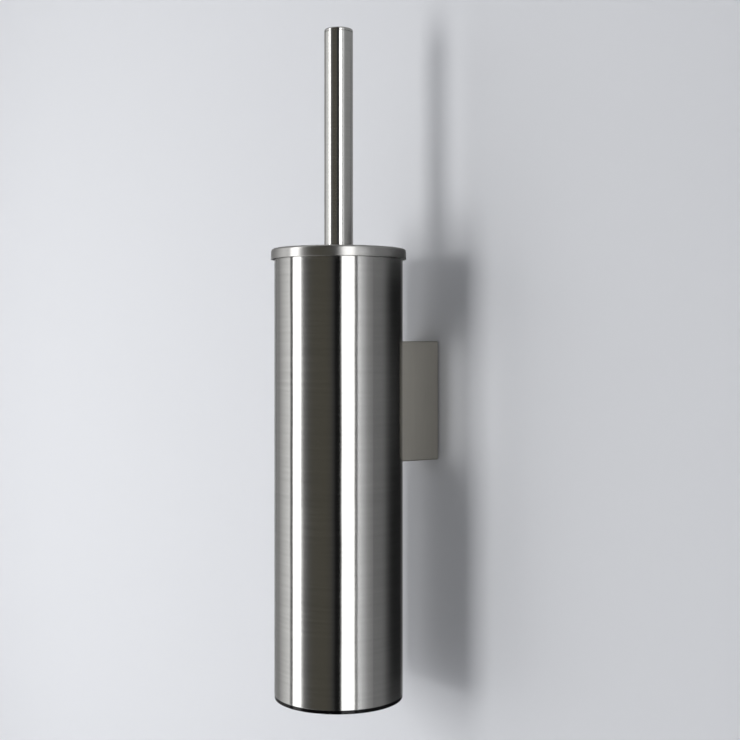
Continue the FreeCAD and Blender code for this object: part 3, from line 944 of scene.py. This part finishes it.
    def tuft_places(self) -> dict[str, list[Tuft]]:
        """Works out where each tuft stands.

        Returns:
            For each band of the head, its tufts as (foot, direction, length).
        """
        low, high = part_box("brush_core")
        core_r, reach = half_width("brush_core"), half_width("bristle_tufts")
        pitch = (high[2] - low[2] - core_r - self.first_ring - self.last_ring_gap) / (self.rings - 1)
        bands: dict[str, list[Tuft]] = {"upper": [], "middle": [], "lower": [], "toe": []}
        centre = (self.rings - 1) / 2
        for ring in range(self.rings):
            band = list(bands)[ring * 3 // self.rings]
            out_by = reach - self.barrel * ((ring - centre) / centre) ** 2
            for number in range(self.tufts_per_ring):
                way = outward(2 * math.pi * (number + (ring % 2) / 2) / self.tufts_per_ring)
                foot = self.axis + UP * (high[2] - self.first_ring - ring * pitch) + way * core_r
                bands[band].append((foot, way, out_by - core_r))
        dome = self.axis + UP * (low[2] + core_r)
        for number in range(self.toe_tufts):
            way = outward(2 * math.pi * (number + 0.5) / self.toe_tufts, self.toe_slope)
            bands["toe"].append((dome + way * core_r, way, self.toe_length))
        bands["toe"].append((dome - UP * core_r, -UP, self.tip_length))
        return bands

    def build_bristles(self) -> None:
        """Builds the tufts bristle by bristle, one piece for each band of the head."""
        dice = random.Random(11)
        templates = [self.tuft_template(dice) for _ in range(self.templates)]
        fibre = BristleFibre("bristle_nylon", (0.94, 0.94, 0.93), self.effects, self.axis).material()
        for band, tufts in self.tuft_places().items():
            mesh = bmesh.new()
            for foot, way, length in tufts:
                known = len(mesh.verts)
                mesh.from_mesh(dice.choice(templates))
                mesh.verts.ensure_lookup_table()
                way = (way + Vector([dice.gauss(0, self.sway) for _ in range(3)])).normalized()
                spin = Matrix.Rotation(dice.uniform(0, 2 * math.pi), 4, "Z")
                stand = way.to_track_quat("Z", "Y").to_matrix().to_4x4()
                tall = Matrix.Diagonal((1.0, 1.0, length + self.sunk, 1.0))
                bmesh.ops.transform(
                    mesh, matrix=Matrix.Translation(foot - way * self.sunk) @ stand @ spin @ tall,
                    verts=mesh.verts[known:])
            make_piece(f"bristles_{band}", mesh, Body.BRUSH, fibre, ("bristle_tufts",), sharp=80.0)
        for mesh in templates:
            bpy.data.meshes.remove(mesh)


# -------------------- the studio
@dataclass
class Studio:
    """A pale wall and floor, soft lamps, and the camera."""

    axis: Vector
    view_azimuth: float = 59.0
    eye_distance: float = 0.761
    eye_height: float = 0.0361
    turn_right: float = 1.40
    lens: float = 62.36
    shift: float = -0.0390
    wall_gap: float = 0.5 * MM
    floor_height: float = -0.62
    wall_top: float = 5.0
    half_width: float = 6.0
    opening: tuple[float, float] = (0.013, 0.034)
    wall_tone: Colour = (0.765, 0.775, 0.80)
    floor_tone: Colour = (0.8, 0.8, 0.81)
    floor_lift: float = 0.32
    sky_tone: Colour = (0.82, 0.825, 0.84)
    ambient: Colour = (0.24, 0.245, 0.256)
    # heights over which the painted shade in reflections gives way to a paler painted tone above the bracket
    paler_above: tuple[float, float] = (0.07, 0.12)
    paler_tone: float = 0.34

    def direction(self, azimuth: float, elevation: float = 0.0) -> Vector:
        """Returns the direction of an azimuth from the wall's normal and an elevation, in degrees."""
        a, e = math.radians(azimuth), math.radians(elevation)
        return Vector((math.sin(a) * math.cos(e), -math.cos(a) * math.cos(e), math.sin(e)))

    def aim(self, item: Object, way: Vector) -> None:
        """Turns an object so that it looks along a direction."""
        item.rotation_euler = way.to_track_quat("-Z", "Y").to_euler()

    def place_camera(self) -> None:
        """Places the camera."""
        data = bpy.data.cameras.new("camera")
        data.lens = self.lens
        data.sensor_width = 36.0
        data.shift_y = self.shift
        data.clip_start = 0.02
        camera = bpy.data.objects.new("camera", data)
        bpy.context.scene.collection.objects.link(camera)
        camera.location = self.axis + self.direction(self.view_azimuth) * self.eye_distance + UP * self.eye_height
        self.aim(camera, -self.direction(self.view_azimuth - self.turn_right))
        bpy.context.scene.camera = camera

    def add_lamp(
        self, name: str, azimuth: float, elevation: float, distance: float, size: tuple[float, float],
        radiance: float, diffuse: bool = True, glossy: bool = True, faced: Vector | None = None,
        fan: float = 180.0,
    ) -> None:
        """Adds a rectangular lamp that faces the object.

        Args:
            name: The lamp's name.
            azimuth: Where it stands round the object, in degrees.
            elevation: How far above level it stands, in degrees.
            distance: Its distance.
            size: Its width and height.
            radiance: How bright its face is.
            diffuse: Whether it lights matt surfaces.
            glossy: Whether it shows in reflections.
            faced: The point that it faces, or the middle of the object.
            fan: The angle that its light fans out over, in degrees.
        """
        data = bpy.data.lights.new(name, "AREA")
        data.shape = "RECTANGLE"
        data.size, data.size_y = size
        data.energy = radiance * math.pi * size[0] * size[1]
        data.spread = math.radians(fan)
        lamp = bpy.data.objects.new(name, data)
        bpy.context.scene.collection.objects.link(lamp)
        way = self.direction(azimuth, elevation)
        lamp.location = (faced or self.axis) + way * distance
        self.aim(lamp, -way)
        lamp.visible_diffuse = diffuse
        lamp.visible_glossy = glossy
        lamp.visible_camera = False

    def build_world(self) -> None:
        """Builds the surroundings: plain for matt surfaces, and a room with dark and pale walls in reflections."""
        world = bpy.data.worlds.new("studio")
        bpy.context.scene.world = world
        world.use_nodes = True
        world.node_tree.nodes.clear()
        graph = Graph(world.node_tree)
        where = graph.add("ShaderNodeTexCoord")
        x, y, z = graph.apart(where.outputs["Generated"])
        azimuth = graph.sum("ARCTAN2", x, graph.sum("MULTIPLY", y, -1.0))
        share = graph.sum("ADD", graph.sum("DIVIDE", azimuth, 2 * math.pi), 0.5)

        def stop(degrees: float, tone: float, warmth: float = 1.0) -> tuple[float, Colour]:
            """Returns a ramp stop at an azimuth, with blue under red where warmth is under 1."""
            return (degrees / 360 + 0.5, (tone, tone * (3 + warmth) / 4, tone * warmth))

        round_about = graph.ramp(share, [
            stop(-180, 0.5), stop(-92, 0.29), stop(-75, 0.29), stop(-63, 0.53), stop(-53, 0.70), stop(-44, 0.85),
            stop(-37.4, 1.0), stop(-36.4, 0.1), stop(-31, 0.1), stop(-30, 1.0), stop(-11, 0.9), stop(-8, 0.38),
            stop(-5, 0.22), stop(-1, 0.15), stop(5, 0.104, 0.9), stop(12, 0.092, 0.8), stop(36, 0.090, 0.75),
            stop(45, 0.075, 0.85), stop(50, 0.045), stop(54, 0.010), stop(62.8, 0.006), stop(63.6, 0.5),
            stop(87.6, 0.5), stop(88.2, 0.26), stop(91.4, 0.26), stop(92.6, 1.1), stop(100, 0.9), stop(180, 0.5),
        ])
        height = graph.ramp(graph.spread(graph.sum("ADD", z, 1.0), 0.0, 0.5), [
            (0.0, (0.8,) * 3), (0.4, (1.0,) * 3), (0.71, (1.0,) * 3), (0.79, (0.45,) * 3), (0.90, (0.45,) * 3),
            (0.97, (1.0,) * 3),
        ])
        mirrored = graph.blend(1.0, round_about, height, "MULTIPLY")
        path = graph.add("ShaderNodeLightPath")
        plain = graph.blend(path.outputs["Is Glossy Ray"], self.ambient, mirrored)
        seen = graph.sum("MAXIMUM", path.outputs["Is Camera Ray"], path.outputs["Is Transmission Ray"])
        sky = graph.add("ShaderNodeBackground")
        graph.feed(graph.blend(seen, plain, self.sky_tone), sky.inputs["Color"])
        graph.feed(sky.outputs[0], graph.add("ShaderNodeOutputWorld").inputs["Surface"])

    def painted_reflection_shade(self, graph: Graph, tones: list[tuple[float, float]]) -> Socket:
        """Adds the painted shade and light that the paint shows in reflections: dark where the object's contact
        shadow falls on the wall, brighter far to the right.

        Args:
            graph: The paint's graph.
            tones: Pairs of a distance to the right and the painted tone there.

        Returns:
            The painted tone, which is never dark above the bracket.
        """
        right, _, up = graph.apart(graph.add("ShaderNodeTexCoord").outputs["Object"])
        reach = max(place for place, _ in tones)
        beside = graph.ramp(
            graph.sum("DIVIDE", right, reach), [(place / reach, (tone,) * 3) for place, tone in tones])
        return graph.blend(graph.share(up, *self.paler_above), beside, (self.paler_tone,) * 3, "LIGHTEN")

    def backdrop_material(
        self, name: str, colour: Colour, one_sided: bool, mirrored: list[tuple[float, float]], lift: float = 0.0,
    ) -> Material:
        """Builds the paint of the wall or floor.

        Args:
            name: The material's name.
            colour: Its colour.
            one_sided: Whether its back can be looked through.
            mirrored: Its painted shade and light in reflections, as pairs of a distance to the right and a tone.
            lift: How much paler it looks to the camera than the lamps make it.

        Returns:
            The material.
        """
        material, graph = new_material(name)
        path = graph.add("ShaderNodeLightPath")
        paint = graph.add("ShaderNodeBsdfDiffuse")
        painted_reflection_tone = self.painted_reflection_shade(graph, mirrored)
        graph.feed(graph.blend(path.outputs["Is Glossy Ray"], colour, painted_reflection_tone), paint.inputs["Color"])
        result = paint.outputs[0]
        if one_sided:
            clear = graph.add("ShaderNodeBsdfTransparent")
            facing = graph.add("ShaderNodeNewGeometry").outputs["Backfacing"]
            result = graph.join("ShaderNodeMixShader", facing, result, clear.outputs[0])
        if lift:
            glow = graph.add("ShaderNodeEmission")
            graph.feed(graph.sum("MULTIPLY", path.outputs["Is Camera Ray"], lift), glow.inputs["Strength"])
            result = graph.join("ShaderNodeAddShader", result, glow.outputs[0])
        graph.feed(result, graph.add("ShaderNodeOutputMaterial").inputs["Surface"])
        return material

    def build_wall(self) -> None:
        """Builds the wall, with an opening hidden behind the bracket so that its back is lit."""
        mesh = bmesh.new()
        beside, above = self.opening
        across = (-self.half_width, -beside, beside, self.half_width)
        tall = (self.floor_height, -above, above, self.wall_top)
        grid = bmesh.ops.create_grid(mesh, x_segments=3, y_segments=3, size=1.0)["verts"]
        for vert in grid:
            column, row = round((vert.co.x + 1) * 1.5), round((vert.co.y + 1) * 1.5)
            vert.co = (across[column], self.wall_gap, tall[row])
        hole = min(mesh.faces, key=lambda face: face.calc_center_median().length)
        bmesh.ops.delete(mesh, geom=[hole], context="FACES_ONLY")
        for face in mesh.faces:
            face.normal_update()
            if face.normal.y > 0:
                face.normal_flip()
        # the tones below are painted shade and light seen only in reflections: the object's contact shadow near it,
        # a brighter wall far to the right
        placed("wall", mesh, self.backdrop_material("wall_paint", self.wall_tone, True, [
            (0.0, 0.34), (0.001, 0.07), (0.042, 0.08), (0.055, 0.12), (0.066, 0.20), (0.078, 0.27), (0.13, 0.28),
            (0.16, 0.35), (0.21, 0.50), (0.29, 0.75), (0.46, 1.15), (0.9, 1.9), (1.35, 2.2), (1.5, 0.5), (3.0, 0.5),
        ]))

    def build_floor(self) -> None:
        """Builds the floor."""
        mesh = bmesh.new()
        bmesh.ops.create_grid(
            mesh, x_segments=1, y_segments=1, size=self.half_width,
            matrix=Matrix.Translation((0, self.axis.y, self.floor_height)))
        floor = placed("floor", mesh, self.backdrop_material(
            "floor_paint", self.floor_tone, False, [(0.0, 0.4), (1.0, 0.4)], self.floor_lift))
        floor.visible_glossy = False

    def build(self) -> None:
        """Builds the studio."""
        self.place_camera()
        self.build_world()
        self.build_wall()
        self.build_floor()
        self.add_lamp("window_strip", -19.85, 0.0, 1.5, (0.462, 2.4), 1.64, diffuse=False)
        self.add_lamp("side_strip", 75.6, 0.0, 1.5, (0.594, 2.4), 1.64, diffuse=False)
        self.add_lamp("key", -11.5, -0.5, 1.6, (0.57, 0.9), 6.7, glossy=False)
        self.add_lamp("soft_side", -50.0, -10.0, 1.4, (0.9, 2.0), 1.68, glossy=False)
        self.add_lamp("overhead", 0.0, 88.0, 1.7, (1.6, 1.2), 0.12, glossy=False)
        self.add_lamp("back_fill", 180.0, 10.0, 1.6, (1.6, 1.6), 0.45, glossy=False)
        low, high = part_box("bracket_housing")
        side = Vector((high[0] + MM, (low[1] + high[1]) / 2, (low[2] + high[2]) / 2))
        self.add_lamp(
            "bracket_bounce", -75.5, 0.0, 0.0, (high[1] - low[1] - 2 * MM, high[2] - low[2]), 0.95, glossy=False,
            faced=side, fan=112.0)
        LOG.info("studio: camera at azimuth %.0f degrees", self.view_azimuth)


# -------------------- all together
def main() -> None:
    """Builds the studio and dresses the object."""
    logging.basicConfig(level=logging.INFO, format="%(message)s")
    scene = bpy.context.scene
    scene.view_settings.view_transform = "Standard"
    low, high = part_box("canister_shell")
    axis = Vector(((low[0] + high[0]) / 2, (low[1] + high[1]) / 2, 0.0))
    Studio(axis).build()
    effects = Effects()
    for part in (Bracket, Canister, Liner, Brush):
        part(effects, axis).build()


if __name__ == "__main__":
    main()
